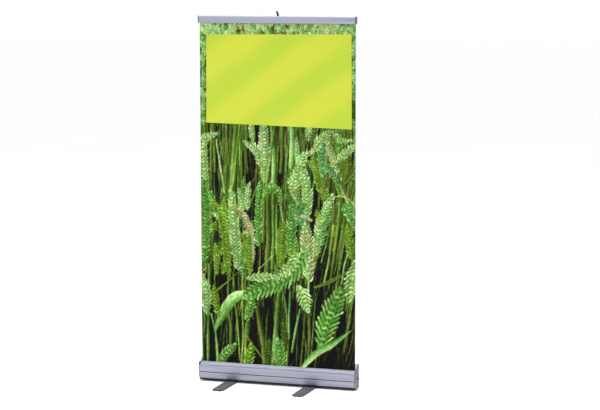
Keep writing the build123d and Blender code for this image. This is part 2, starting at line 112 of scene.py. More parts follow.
def extruded_aluminium(name, colour, pale, lengthwise, roughness, metallic=1.0, dark=None):
    """Aluminium extrusion, satin etched and clear anodised: soft silver, with faint die lines that
    run the length of the bar and make the gloss streaky across it. dark names where shade is painted
    on as near-black colour: a texture coordinate, and the middle and half of the band that its Z is to fall
    in."""
    material, tree, place = start_material(name)
    die_line = 1.6 * MM          # a real one is 0.2 mm, too fine to show
    run = 260 * MM
    fine = [1 / die_line] * 3
    fine[lengthwise] = 1 / run
    lines = add(tree, "ShaderNodeTexNoise", {
        "Vector": add(tree, "ShaderNodeMapping", {"Vector": place, "Scale": fine}),
        "Scale": 1.0, "Detail": 3.0, "Roughness": 0.6})
    broad = [1 / (14 * MM)] * 3
    broad[lengthwise] = 1 / (420 * MM)
    bands = add(tree, "ShaderNodeTexNoise", {
        "Vector": add(tree, "ShaderNodeMapping", {"Vector": place, "Scale": broad}),
        "Scale": 1.0, "Detail": 1.0})
    etch = add(tree, "ShaderNodeTexNoise", {"Vector": place, "Scale": 1 / (0.9 * MM), "Detail": 1.0})
    shade = add(tree, "ShaderNodeMath", {0: lines, 1: bands}, operation="ADD")
    streak = add(tree, "ShaderNodeMapRange", {"Value": shade, **TWO_NOISES, **FACTOR})
    tone = add(tree, "ShaderNodeMix", {"Factor": streak, 6: linear(colour), 7: linear(pale)},
               data_type="RGBA")
    if dark:
        coordinate, band_middle, band_half = dark
        where = add(tree, "ShaderNodeTexCoord").outputs[coordinate]
        height = add(tree, "ShaderNodeSeparateXYZ", {"Vector": where}).outputs["Z"]
        painted_shade_mask = add(tree, "ShaderNodeMath", {0: height, 1: band_middle, 2: band_half},
                        operation="COMPARE")
        # painted shade: inside that band the metal's tone is replaced by near black (19191D)
        tone = add(tree, "ShaderNodeMix", {"Factor": painted_shade_mask, 6: tone, 7: linear("19191D")},
                   data_type="RGBA")
    gloss = add(tree, "ShaderNodeMapRange", {
        "Value": lines, **NOISE, "To Min": roughness - 0.05, "To Max": roughness + 0.05})
    pits = add(tree, "ShaderNodeMapRange", {"Value": etch, **NOISE, "To Min": -0.03, "To Max": 0.03})
    gloss = add(tree, "ShaderNodeMath", {0: gloss, 1: pits}, operation="ADD")
    height = add(tree, "ShaderNodeMath", {0: etch, 1: 0.3, 2: lines}, operation="MULTIPLY_ADD")
    end_material(tree, {"Base Color": tone, "Metallic": metallic, "Roughness": gloss}, height, 0.02 * MM)
    return material


def zinc_plated_steel(name):
    """Pressed and turned steel, zinc plated and clear passivated: cool grey with faint cloudy patches."""
    material, tree, place = start_material(name)
    clouds = add(tree, "ShaderNodeTexNoise", {"Vector": place, "Scale": 1 / (6 * MM), "Detail": 4.0})
    crystals = add(tree, "ShaderNodeTexVoronoi", {"Vector": place, "Scale": 1 / (1.2 * MM)})
    cloudy = add(tree, "ShaderNodeMapRange", {"Value": clouds, **NOISE, **FACTOR})
    tone = add(tree, "ShaderNodeMix", {"Factor": cloudy, 6: linear("9EA0A3"), 7: linear("C2C5C6")},
               data_type="RGBA")
    gloss = add(tree, "ShaderNodeMapRange", {"Value": clouds, **NOISE, "To Min": 0.42, "To Max": 0.26})
    end_material(tree, {"Base Color": tone, "Metallic": 1.0, "Roughness": gloss}, crystals, 0.02 * MM)
    return material


def oiled_spring_wire(name):
    """Hard-drawn wire, dark and oily, with draw marks."""
    material, tree, place = start_material(name)
    marks = add(tree, "ShaderNodeTexNoise", {"Vector": place, "Scale": 1 / (1.0 * MM), "Detail": 3.0})
    tone = add(tree, "ShaderNodeMix", {"Factor": marks, 6: linear("3B3836"), 7: linear("77746F")},
               data_type="RGBA")
    gloss = add(tree, "ShaderNodeMapRange", {"Value": marks, **NOISE, "To Min": 0.25, "To Max": 0.45})
    end_material(tree, {"Base Color": tone, "Metallic": 1.0, "Roughness": gloss}, marks, 0.01 * MM)
    return material


def powder_coat(name, colour, worn):
    """Black polyester powder baked on steel: a low orange-peel skin, rubbed a little paler in patches."""
    material, tree, place = start_material(name)
    peel = add(tree, "ShaderNodeTexNoise", {"Vector": place, "Scale": 1 / (2.2 * MM), "Detail": 2.0})
    rubs = add(tree, "ShaderNodeTexNoise", {"Vector": place, "Scale": 1 / (45 * MM), "Detail": 5.0})
    rubbed = add(tree, "ShaderNodeMapRange", {"Value": rubs, "From Min": 0.4, "From Max": 0.75, **FACTOR})
    tone = add(tree, "ShaderNodeMix", {"Factor": rubbed, 6: linear(colour), 7: linear(worn)},
               data_type="RGBA")
    gloss = add(tree, "ShaderNodeMapRange", {"Value": rubs, **NOISE, "To Min": 0.42, "To Max": 0.56})
    end_material(tree, {"Base Color": tone, "Roughness": gloss, "Specular IOR Level": 0.3},
                 peel, 0.05 * MM)
    return material


# ---------------------------------------------------------------- plastics, rubber and felt

def moulded_abs(name, colour, pale):
    """Injection-moulded ABS from a spark-eroded tool: an even fine grain that keeps the gloss low."""
    material, tree, place = start_material(name)
    # the real grain is about 0.15 mm, drawn coarser so that it shows
    spark = add(tree, "ShaderNodeTexVoronoi", {"Vector": place, "Scale": 1 / (1.3 * MM)})
    flow = add(tree, "ShaderNodeTexNoise", {"Vector": place, "Scale": 1 / (30 * MM), "Detail": 3.0})
    flowed = add(tree, "ShaderNodeMapRange", {"Value": flow, **NOISE, **FACTOR})
    tone = add(tree, "ShaderNodeMix", {"Factor": flowed, 6: linear(colour), 7: linear(pale)},
               data_type="RGBA")
    gloss = add(tree, "ShaderNodeMapRange", {"Value": flow, **NOISE, "To Min": 0.46, "To Max": 0.58})
    end_material(tree, {"Base Color": tone, "Roughness": gloss, "Specular IOR Level": 0.4},
                 spark, 0.04 * MM)
    return material


def moulded_rubber(name):
    """Thermoplastic rubber of the foot pads: matt, a little dusty."""
    material, tree, place = start_material(name)
    dust = add(tree, "ShaderNodeTexNoise", {"Vector": place, "Scale": 1 / (3 * MM), "Detail": 4.0})
    dusty = add(tree, "ShaderNodeMapRange", {"Value": dust, "From Min": 0.45, "From Max": 0.8, **FACTOR})
    tone = add(tree, "ShaderNodeMix", {"Factor": dusty, 6: linear("161617"), 7: linear("343331")},
               data_type="RGBA")
    gloss = add(tree, "ShaderNodeMapRange", {"Value": dust, **NOISE, "To Min": 0.7, "To Max": 0.9})
    end_material(tree, {"Base Color": tone, "Roughness": gloss}, dust, 0.06 * MM)
    return material


def pressed_felt(name):
    """Pressed wool felt that wipes the film at the slot: fuzzy and mottled."""
    material, tree, place = start_material(name)
    hairs = add(tree, "ShaderNodeTexNoise", {"Vector": place, "Scale": 1 / (0.8 * MM), "Detail": 5.0,
                                             "Distortion": 1.5})
    tone = add(tree, "ShaderNodeMix", {"Factor": hairs, 6: linear("303236"), 7: linear("6B6E74")},
               data_type="RGBA")
    gloss = add(tree, "ShaderNodeMapRange", {"Value": hairs, **NOISE, "To Min": 0.85, "To Max": 0.98})
    end_material(tree, {"Base Color": tone, "Roughness": gloss, "Sheen Weight": 0.4,
                        "Sheen Roughness": 0.5}, hairs, 0.2 * MM)
    return material


def plain_film(name):
    """Grey-core polyester film, uncoated side: an even off-white, satin, with a faint calender grain."""
    material, tree, place = start_material(name)
    grain = add(tree, "ShaderNodeTexNoise", {"Vector": place, "Scale": 1 / (1.5 * MM), "Detail": 2.0})
    cast = add(tree, "ShaderNodeTexNoise", {"Vector": place, "Scale": 1 / (180 * MM), "Detail": 2.0})
    clouded = add(tree, "ShaderNodeMapRange", {"Value": cast, **NOISE, **FACTOR})
    tone = add(tree, "ShaderNodeMix", {"Factor": clouded, 6: linear("E6E7E4"), 7: linear("EBECE9")},
               data_type="RGBA")
    gloss = add(tree, "ShaderNodeMapRange", {"Value": grain, **NOISE, "To Min": 0.44, "To Max": 0.54})
    end_material(tree, {"Base Color": tone, "Roughness": gloss, "Specular IOR Level": 0.4},
                 grain, 0.015 * MM)
    return material


# ---------------------------------------------------------------- the print: a field of green wheat
# The drawing is in millimetres on the film: x from its middle, z from the floor.

FILM_HALF = (film_high.x - film_low.x) / 2 / MM
FILM_LOW = film_low.z / MM
FILM_HIGH = film_high.z / MM
INK_CELL = 2.0            # distance between samples of the drawing
PATH_STEPS = 8            # straight pieces in a curve between two of its points
rng = np.random.default_rng(17)

# inks of the print, each as deep, middle and light sRGB hex
INKS = {
    "pale": ("426030", "92BA72", "E2F0CC"),
    "fresh": ("2E4A20", "6C9C50", "B8DE9A"),
    "lime": ("324814", "74983E", "BCD87C"),
    "blue_green": ("2E4A28", "66985A", "AED69C"),
    "straw": ("4C5430", "9CAC76", "E4ECCA"),
    "olive": ("24300E", "546A2C", "8CA056"),
    "brown": ("241E10", "504628", "887E52"),
    "stem": ("283E14", "5C7E38", "98BC70"),
}
CONTRAST = 1.4
MIDDLE_INK = 0.5          # the contrast leaves this level as it is
INK_BALANCE = (0.92, 0.865, 0.92)     # red, green and blue, to take the edge off the greens
HEM = 1842                # above this height the pale heads catch the most light
HEM_LIFT = 0.11
RIB_HALF = 1.6            # half width of a leaf's pale rib


def srgb(hex_colour):
    return np.array([int(hex_colour[i:i + 2], 16) / 255 for i in (0, 2, 4)])


def smooth_path(points):
    """A Catmull-Rom curve through given points, as rows of x and z."""
    p = np.array(points, float)
    if len(p) == 2:
        return np.linspace(p[0], p[1], 3)
    ends = np.vstack([2 * p[0] - p[1], p, 2 * p[-1] - p[-2]])
    t = np.linspace(0, 1, PATH_STEPS, endpoint=False)[:, None]
    runs = []
    for a, b, c, d in zip(ends, ends[1:], ends[2:], ends[3:]):
        runs.append(0.5 * (2 * b + (c - a) * t + (2 * a - 5 * b + 4 * c - d) * t ** 2
                           + (3 * b - a - 3 * c + d) * t ** 3))
    return np.vstack(runs + [p[-1:]])


def shaded(tone, lit):
    """An ink's colour from its deep end at 0, through its middle at 0.5, to its light end at 1."""
    deep, middle, light = (srgb(c) for c in INKS[tone])
    lit = np.clip(lit, 0, 1)[..., None]
    return np.where(lit < 0.5, deep + (middle - deep) * lit * 2, middle + (light - middle) * (lit * 2 - 1))


def strip(points, width, ragged=1.0):
    """The samples near a path: their slices, distance along it, and signed distance across it."""
    path = smooth_path(points)
    reach = width * 0.75 + INK_CELL
    left, low = path.min(axis=0) - reach
    right, high = path.max(axis=0) + reach
    c0 = max(int((left + FILM_HALF) / INK_CELL), 0)
    c1 = min(int((right + FILM_HALF) / INK_CELL) + 1, ink.shape[1])
    r0 = max(int((low - FILM_LOW) / INK_CELL), 0)
    r1 = min(int((high - FILM_LOW) / INK_CELL) + 1, ink.shape[0])
    if c1 <= c0 or r1 <= r0:
        return None
    x = (np.arange(c0, c1) + 0.5) * INK_CELL - FILM_HALF
    z = (np.arange(r0, r1) + 0.5) * INK_CELL + FILM_LOW
    x, z = np.meshgrid(x, z)
    x = x + ragged * stray_x[r0:r1, c0:c1]
    z = z + ragged * stray_z[r0:r1, c0:c1]
    nearest = np.full(x.shape, 1e9)
    along = np.zeros(x.shape)
    across = np.zeros(x.shape)
    run = 0.0
    for a, b in zip(path, path[1:]):
        d = b - a
        length = np.hypot(*d)
        t = np.clip(((x - a[0]) * d[0] + (z - a[1]) * d[1]) / length ** 2, 0, 1)
        dx = x - a[0] - t * d[0]
        dz = z - a[1] - t * d[1]
        distance = np.hypot(dx, dz)
        closer = distance < nearest
        nearest[closer] = distance[closer]
        along[closer] = (run + t * length)[closer]
        across[closer] = np.copysign(distance, dx * d[1] - dz * d[0])[closer]
        run += length
    return (slice(r0, r1), slice(c0, c1)), along, across, run


def lay(where, cover, colour, head=0.0):
    """Ink goes over what is printed there already. head is 1 for ears and 0 for stalks."""
    ink[where] += (colour - ink[where]) * cover[..., None]
    heads[where] += (head - heads[where]) * cover


def stem(points, width, tone, strength=1.0, taper=1.0):
    """A stalk or a blade: lit on its left, shaded on its right, with a few faint lines along it."""
    found = strip(points, width)
    if found is None:
        return
    where, along, across, run = found
    half = width / 2 * (1 - (1 - taper) * along / run)
    cover = np.clip((half - np.abs(across)) / INK_CELL + 0.5, 0, 1) * strength
    side = np.clip(across / np.maximum(half, 0.5), -1, 1)
    lines = 0.10 * np.sin(across * 2.1 + rng.uniform(0, 6)) + 0.12 * np.sin(along / rng.uniform(30, 90))
    lay(where, cover, shaded(tone, 0.5 - 0.42 * side + lines))


def seed_of(points):
    """A whole number that differs from ear to ear."""
    return int(abs(points[0][0] * 3 + points[0][1] * 5))


def ear(points, width, tone, grain):
    """An ear of wheat: a row of grains down the middle, and a leaning row either side with its tips out."""
    found = strip(points, width, 4.2)
    if found is None:
        return
    where, along, across, run = found
    share = np.clip(along / run, 0, 1)
    half = width / 2 * np.sin(np.pi * (0.10 + 0.84 * share)) ** 0.5
    reach = np.abs(across) / half
    right = across > 0
    side_beat = (along - 1.1 * np.abs(across)) / grain + 0.5 * right
    side_number = np.floor(side_beat).astype(int)
    side_part = 1 - np.abs(2 * (side_beat - side_number) - 1)
    middle_beat = (along + 0.45 * np.abs(across)) / grain + 0.25
    middle_number = np.floor(middle_beat).astype(int)
    middle_part = 1 - np.abs(2 * (middle_beat - middle_number) - 1)
    luck = chance[(side_number * 7 + right * 57 + seed_of(points)) % chance.size]
    middle_luck = chance[(middle_number * 11 + 300 + seed_of(points)) % chance.size]
    edge = half * (0.62 + 0.20 * luck + 0.42 * side_part)
    cover = np.clip((edge - np.abs(across)) / INK_CELL + 0.5, 0, 1)
    side_light = side_part ** (0.4 + luck) * (0.34 + 0.62 * reach) * (0.50 + 0.75 * luck)
    in_middle = np.clip((0.42 * middle_part ** 0.5 - reach) * 6, 0, 1)
    middle_light = middle_part ** (0.4 + middle_luck) * (0.42 + 0.55 * middle_luck)
    lit = side_light + (middle_light - side_light) * in_middle
    lay(where, cover, shaded(tone, lit * 0.92 + 0.12 - 0.08 * right), 1.0)


def blade(points, width, tone):
    """A broad leaf: pointed at both ends, with a pale rib and a shaded lower half."""
    where, along, across, run = strip(points, width, 0.6)
    share = np.clip(along / run, 0, 1)
    half = width / 2 * np.sin(np.pi * (0.02 + 0.90 * share ** 1.15)) ** 0.8
    cover = np.clip((half - np.abs(across)) / INK_CELL + 0.5, 0, 1)
    rib = 0.2 * (np.abs(across) < RIB_HALF)
    lit = 0.35 + 0.5 * share - 0.25 * across / np.maximum(half, 1) + 0.06 * np.sin(across * 1.3) + rib
    lay(where, cover, shaded(tone, lit))


def blotches(size, amount):
    """Soft random patches of a given size in millimetres, from -amount to amount."""
    coarse_rows = int((FILM_HIGH - FILM_LOW) / size) + 2
    coarse_cols = int(2 * FILM_HALF / size) + 2
    coarse = rng.uniform(-amount, amount, (coarse_rows, coarse_cols))
    down = np.linspace(0, coarse_rows - 1, rows)
    over = np.linspace(0, coarse_cols - 1, cols)
    tall = np.array([np.interp(down, np.arange(coarse_rows), column) for column in coarse.T]).T
    return np.array([np.interp(over, np.arange(coarse_cols), row) for row in tall])


def awns(points, tone, count=6, length=34):
    """Bristles that stand off the tip of an ear."""
    path = smooth_path(points)
    tip = path[-1]
    heading = tip - path[-3]
    angle = np.arctan2(heading[1], heading[0])
    for _ in range(count):
        turn = angle + rng.uniform(-0.5, 0.5)
        reach = length * rng.uniform(0.6, 1.1)
        stem((tip, tip + reach * np.array([np.cos(turn), np.sin(turn)])), 2.2, tone, 0.7, 0.3)


rows = int((FILM_HIGH - FILM_LOW) / INK_CELL)
cols = int(2 * FILM_HALF / INK_CELL)
ink = np.zeros((rows, cols, 3))
heads = np.zeros((rows, cols))
chance = rng.random(997)
ink[:] = srgb("0E0D08")
stray_x = blotches(9, 1.0)
stray_z = blotches(9, 1.0)

# dark hollows between the stalks: middle x, z, half width, half height
HOLLOWS = (
    (-150, 1050, 40, 190), (-120, 900, 26, 120), (22, 1090, 30, 130), (25, 900, 18, 60),
    (-345, 1010, 30, 90), (-330, 1180, 18, 90), (212, 940, 36, 120), (195, 1060, 16, 50),
    (-60, 680, 34, 120), (-290, 480, 60, 90), (-250, 320, 60, 90), (-30, 380, 30, 110),
    (95, 700, 20, 60), (80, 420, 40, 120), (270, 600, 30, 90), (240, 700, 16, 110),
    (-365, 200, 26, 110), (-130, 250, 30, 110), (130, 230, 60, 110), (350, 200, 30, 90),
    (-360, 640, 16, 110), (-235, 420, 30, 70), (180, 640, 14, 60), (-30, 160, 24, 60),
    (-355, 880, 20, 60), (-350, 800, 24, 40), (90, 780, 20, 20),
)

# --- the thicket behind: hundreds of thin stalks, leaning more towards the right-hand side
THIN_BELOW = 880          # stalks are fewer and thinner under this height
for _ in range(1500):
    x = rng.uniform(-450, 450)
    z = rng.uniform(60, 1700)
    tall = rng.uniform(200, 620)
    lean = rng.normal(0.02, 0.05) + (0.13 if x > 190 and z < 800 else 0.0) + (0.03 if x > 190 else 0)
    in_hollow = any(
        ((x + lean * tall / 2 - hx) / hw) ** 2
        + (max(abs(z + tall / 2 - hz) - tall / 2, 0) / hh) ** 2 < 0.9
        for hx, hz, hw, hh in HOLLOWS)
    if in_hollow and rng.random() < 0.80:
        continue
    high = z + tall / 2 > THIN_BELOW
    if rng.random() > (1.0 if high else 0.75):
        continue
    shares = (0.36, 0.32, 0.12, 0.14, 0.06) if high else (0.42, 0.26, 0.16, 0.1, 0.06)
    tone = rng.choice(("olive", "stem", "brown", "fresh", "lime"), p=shares)
    bend = rng.normal(0, 10)
    stem(((x, z), (x + lean * tall / 2 + bend, z + tall / 2), (x + lean * tall, z + tall)),
         rng.uniform(4, 12 if high else 8), tone, rng.uniform(0.5, 0.9), 0.7)

# --- fine broken straws and bright stems that cross the stalks
for _ in range(230):
    x = rng.uniform(-430, 430)
    z = rng.uniform(100, 1350)
    turn = rng.normal(1.57, 0.55)
    length = rng.uniform(60, 220)
    stem(((x, z), (x + length * np.cos(turn), z + length * np.sin(turn))), 2.6,
         rng.choice(("straw", "brown", "pale")), 0.55, 0.5)

# --- single stalks and blades of the foreground: path, width, ink, width left at the end
STALKS = (
    (((-292, 1010), (-312, 1130), (-338, 1290)), 9, "pale", 0.8),
    (((-250, 1020), (-238, 1180), (-222, 1385)), 34, "stem", 0.8),
    (((-262, 1010), (-240, 1090), (-205, 1385)), 12, "lime", 0.7),
    (((-345, 1120), (-350, 1385)), 14, "olive", 1.0),
    (((-22, 1060), (-18, 1200), (-30, 1385)), 26, "fresh", 0.8),
    (((-58, 1040), (-40, 1200), (-8, 1385)), 14, "stem", 0.8),
    (((20, 1130), (28, 1260), (36, 1385)), 20, "olive", 0.9),
    (((78, 1160), (84, 1280), (80, 1385)), 30, "fresh", 0.9),
    (((-58, 600), (-48, 820), (-52, 1000)), 30, "olive", 0.9),
    (((-28, 620), (-22, 820), (-22, 1010)), 20, "stem", 0.9),
    (((-80, 760), (-72, 1010)), 14, "stem", 0.8),
    (((-8, 700), (-5, 960)), 8, "fresh", 0.8),
    (((30, 860), (18, 960), (8, 1030)), 6, "pale", 0.8),
    (((-205, 95), (-192, 250), (-196, 420), (-194, 620)), 12, "lime", 0.9),
    (((-182, 110), (-178, 280), (-165, 350)), 12, "lime", 0.9),
    (((-212, 120), (-222, 280), (-236, 420), (-245, 560)), 9, "lime", 0.8),
    (((-75, 96), (-78, 180), (-95, 300), (-112, 400)), 26, "olive", 1.0),
    (((-25, 96), (-12, 260), (0, 400), (12, 520)), 30, "stem", 0.9),
    (((50, 96), (55, 250), (48, 400), (30, 500)), 15, "stem", 0.8),
    (((62, 250), (62, 380), (72, 500)), 10, "blue_green", 0.8),
    (((78, 180), (98, 300), (124, 410)), 12, "fresh", 0.9),
    (((125, 96), (140, 260), (152, 400)), 10, "olive", 0.9),
    (((168, 130), (176, 290), (172, 400)), 14, "olive", 0.9),
    (((-392, 96), (-390, 260), (-386, 420)), 16, "stem", 1.0),
    (((-335, 96), (-345, 240), (-372, 360)), 13, "fresh", 0.7),
    (((-386, 400), (-384, 520), (-380, 640)), 14, "stem", 1.0),
    (((-265, 180), (-262, 300), (-280, 400)), 20, "olive", 0.8),
    (((-175, 245), (-120, 178), (-62, 108)), 11, "stem", 0.7),
    (((168, 560), (166, 480)), 9, "pale", 0.8),
    (((200, 620), (218, 720), (232, 860)), 18, "olive", 0.9),
    (((255, 560), (285, 700), (305, 860)), 12, "lime", 0.9),
    (((350, 560), (365, 660), (385, 720)), 8, "pale", 0.8),
    (((300, 640), (325, 820), (345, 1000)), 12, "stem", 0.9),
    (((355, 420), (372, 560)), 9, "olive", 0.9),
    (((290, 1004), (350, 1012), (396, 992), (424, 960)), 7, "pale", 0.8),
    (((350, 1060), (395, 1110), (424, 1150)), 8, "stem", 0.8),
    (((330, 1090), (360, 1020), (420, 900)), 7, "pale", 0.6),
    (((-412, 432), (-312, 512), (-215, 590)), 9, "olive", 0.8),
    (((-405, 424), (-320, 500), (-250, 560)), 5, "lime", 0.8),
    (((200, 530), (300, 575), (415, 640)), 13, "olive", 0.8),
    (((205, 528), (280, 556), (360, 600)), 5, "lime", 0.8),
    (((-150, 955), (-128, 1010), (-105, 1060)), 6, "lime", 0.7),
    (((-105, 610), (-60, 655), (-22, 690)), 5, "straw", 0.7),
)

# --- ears, back ones first: spine from the stalk end to the tip, width, ink, length of a grain
EARS = (
    (((400, 700), (392, 790), (384, 860)), 50, "lime", 16),
    (((-388, 790), (-385, 720), (-378, 640)), 62, "olive", 15),
    (((-372, 960), (-322, 905), (-292, 800), (-272, 570)), 50, "lime", 18),
    (((-215, 930), (-165, 850), (-145, 760), (-150, 610)), 44, "straw", 15),
    (((-232, 760), (-210, 690), (-200, 570)), 46, "fresh", 16),
    (((-225, 620), (-238, 800), (-246, 900), (-256, 1020)), 56, "pale", 19),
    (((-104, 740), (-108, 880), (-98, 1070)), 38, "fresh", 17),
    (((-75, 1090), (-68, 1230), (-76, 1400)), 60, "pale", 17),
    (((-98, 1170), (-118, 1240), (-178, 1282)), 46, "pale", 18),
    (((-134, 1290), (-146, 1390)), 30, "pale", 15),
    (((-150, 590), (-160, 700), (-155, 790)), 40, "lime", 16),
    (((-70, 1000), (-38, 1050), (4, 1024), (14, 960)), 42, "fresh", 17),
    (((15, 640), (22, 740), (28, 860)), 66, "lime", 15),
    (((118, 1100), (108, 1210), (104, 1310)), 26, "pale", 15),
    (((95, 1010), (108, 1130), (148, 1218), (190, 1238)), 48, "pale", 18),
    (((226, 1040), (214, 1140), (190, 1210)), 42, "lime", 17),
    (((250, 1120), (240, 1230), (262, 1330)), 46, "blue_green", 17),
    (((196, 1240), (236, 1306), (292, 1345)), 46, "pale", 19),
    (((340, 1080), (300, 1135), (236, 1180)), 40, "blue_green", 17),
    (((322, 1150), (300, 1210), (268, 1290)), 40, "straw", 15),
    (((300, 1340), (350, 1302), (398, 1300)), 30, "pale", 16),
    (((322, 1190), (372, 1240), (424, 1280)), 44, "pale", 18),
    (((165, 1390), (172, 1300)), 26, "pale", 14),
    (((112, 960), (88, 1020), (64, 1092)), 30, "pale", 18),
    (((160, 900), (162, 1010), (146, 1140)), 60, "pale", 18),
    (((70, 720), (78, 860), (86, 970)), 62, "fresh", 18),
    (((130, 860), (118, 930), (150, 960)), 60, "blue_green", 16),
    (((112, 895), (150, 892), (192, 880)), 22, "straw", 18),
    (((172, 580), (166, 700), (158, 860)), 74, "pale", 20),
    (((186, 600), (178, 700), (172, 820)), 26, "straw", 22),
    (((212, 700), (226, 820), (262, 940), (300, 1012)), 54, "pale", 18),
    (((246, 760), (262, 860), (292, 950)), 30, "blue_green", 18),
    (((396, 890), (392, 990)), 40, "fresh", 16),
    (((-425, 600), (-404, 800), (-402, 960), (-420, 1110)), 64, "fresh", 19),
    (((-400, 1090), (-410, 1200), (-404, 1290), (-342, 1318)), 50, "pale", 19),
    (((120, 520), (140, 480), (160, 410)), 74, "pale", 22),
    (((-172, 350), (-150, 420), (-140, 500)), 54, "fresh", 20),
    (((425, 660), (402, 580), (392, 476)), 70, "pale", 24),
    (((-398, 370), (-400, 460), (-425, 560)), 60, "pale", 20),
    (((-330, 350), (-346, 420), (-356, 505)), 44, "lime", 18),
    (((36, 180), (40, 260), (30, 345)), 42, "olive", 15),
    (((-60, 96), (-52, 160), (-48, 235)), 44, "olive", 16),
    (((240, 225), (262, 320), (300, 420), (342, 515)), 112, "fresh", 30),
    (((140, 690), (96, 626), (20, 566), (-70, 520), (-180, 470)), 112, "fresh", 28),
    (((110, 700), (60, 620), (-10, 570)), 50, "pale", 24),
    (((-160, 560), (-100, 572), (-20, 580)), 44, "pale", 24),
    (((-330, 100), (-290, 150), (-240, 196)), 52, "fresh", 22),
    (((-172, 96), (-156, 150), (-146, 205)), 58, "lime", 22),
    (((14, 80), (10, 160), (2, 240)), 66, "fresh", 20),
)

BACK_EARS = 34            # this many of them stand behind the broad leaf

# --- half-hidden ears between the stalks
for _ in range(46):
    places = (rng.uniform(-420, -150), rng.uniform(40, 200), rng.uniform(200, 425))
    x = rng.choice(places, p=(0.5, 0.25, 0.25))
    z = rng.uniform(560, 960) if x < 200 else rng.uniform(760, 1330)
    turn = rng.normal(0, 16)
    tall = rng.uniform(90, 190)
    ear(((x - turn, z), (x, z + tall / 2), (x + turn * 2, z + tall)), rng.uniform(26, 44),
        rng.choice(("fresh", "lime", "stem", "pale", "olive"), p=(0.28, 0.24, 0.2, 0.13, 0.15)), 15)

for points, width, tone, end in STALKS:
    stem(points, width, tone, 0.95, end)
for points, width, tone, grain in EARS[:BACK_EARS]:
    ear(points, width, tone, grain)
# broad leaf blades in front of the stalks
blade(((-352, 262), (-318, 340), (-275, 415), (-228, 462), (-160, 478)), 60, "fresh")
for points, width, tone, grain in EARS[BACK_EARS:]:
    ear(points, width, tone, grain)
    awns(points, tone)
blade(((402, 314), (300, 236), (205, 176), (120, 84)), 36, "fresh")

# --- pale heads crowded along the top hem and down both edges
for _ in range(260):
    x = rng.uniform(-425, 425)
    z = rng.uniform(1815, 1925)
    turn = rng.normal(1.57, 0.5)
    length = rng.uniform(28, 60)
    shares = (0.62, 0.26, 0.12, 0.0) if z > 1850 else (0.2, 0.4, 0.05, 0.35)
    tone = rng.choice(("pale", "fresh", "straw", "olive"), p=shares)
    aside = length * np.cos(turn)
    spine = ((x, z - length / 2), (x + aside / 2, z), (x + aside, z + length / 2))
    ear(spine, rng.uniform(14, 24), tone, 11)
for edge in (-408, 415):
    for z in np.arange(1370, 1860, 34):
        turn = rng.normal(0, 12)
        tone = rng.choice(("pale", "fresh", "blue_green", "olive"), p=(0.4, 0.3, 0.15, 0.15))
        ear(((edge + turn, z), (edge - turn, z + 48)), rng.uniform(18, 34), tone, 13)

ink = (ink - MIDDLE_INK) * CONTRAST + MIDDLE_INK
ink *= 1 + (blotches(5, 0.16) + blotches(14, 0.10) + blotches(90, 0.08))[..., None]
ink[int((HEM - FILM_LOW) / INK_CELL):] += HEM_LIFT
ink *= np.array(INK_BALANCE) + np.stack([blotches(30, 0.07), blotches(60, 0.02), blotches(40, 0.08)], -1)


# ---------------------------------------------------------------- the film

FRONT_COLUMNS, FRONT_ROWS = 212, 448     # one drawing sample to each 4 mm square
BACK_COLUMNS, BACK_ROWS = 24, 52
RIPPLE = 0.35 * MM
# the panel's bands rise from left to right and repeat up the film
BAND_SLOPE = 0.72
BAND_PERIOD = 318 * MM
BAND_DRIFT = 60 * MM
BAND_PHASE = 3.53
# the panel's sides: the coordinate that is limited, the limit's slope along the other one, the
# limit at its middle, and which side of it the panel is on
PANEL_SIDES = (
    ("up", -0.0088, 1842.4 * MM, "LESS_THAN"),
    ("up", 0.0214, 1369.6 * MM, "GREATER_THAN"),
    ("across", -0.0065, -401.0 * MM, "GREATER_THAN"),
    ("across", 0.0041, 409.6 * MM, "LESS_THAN"),
)


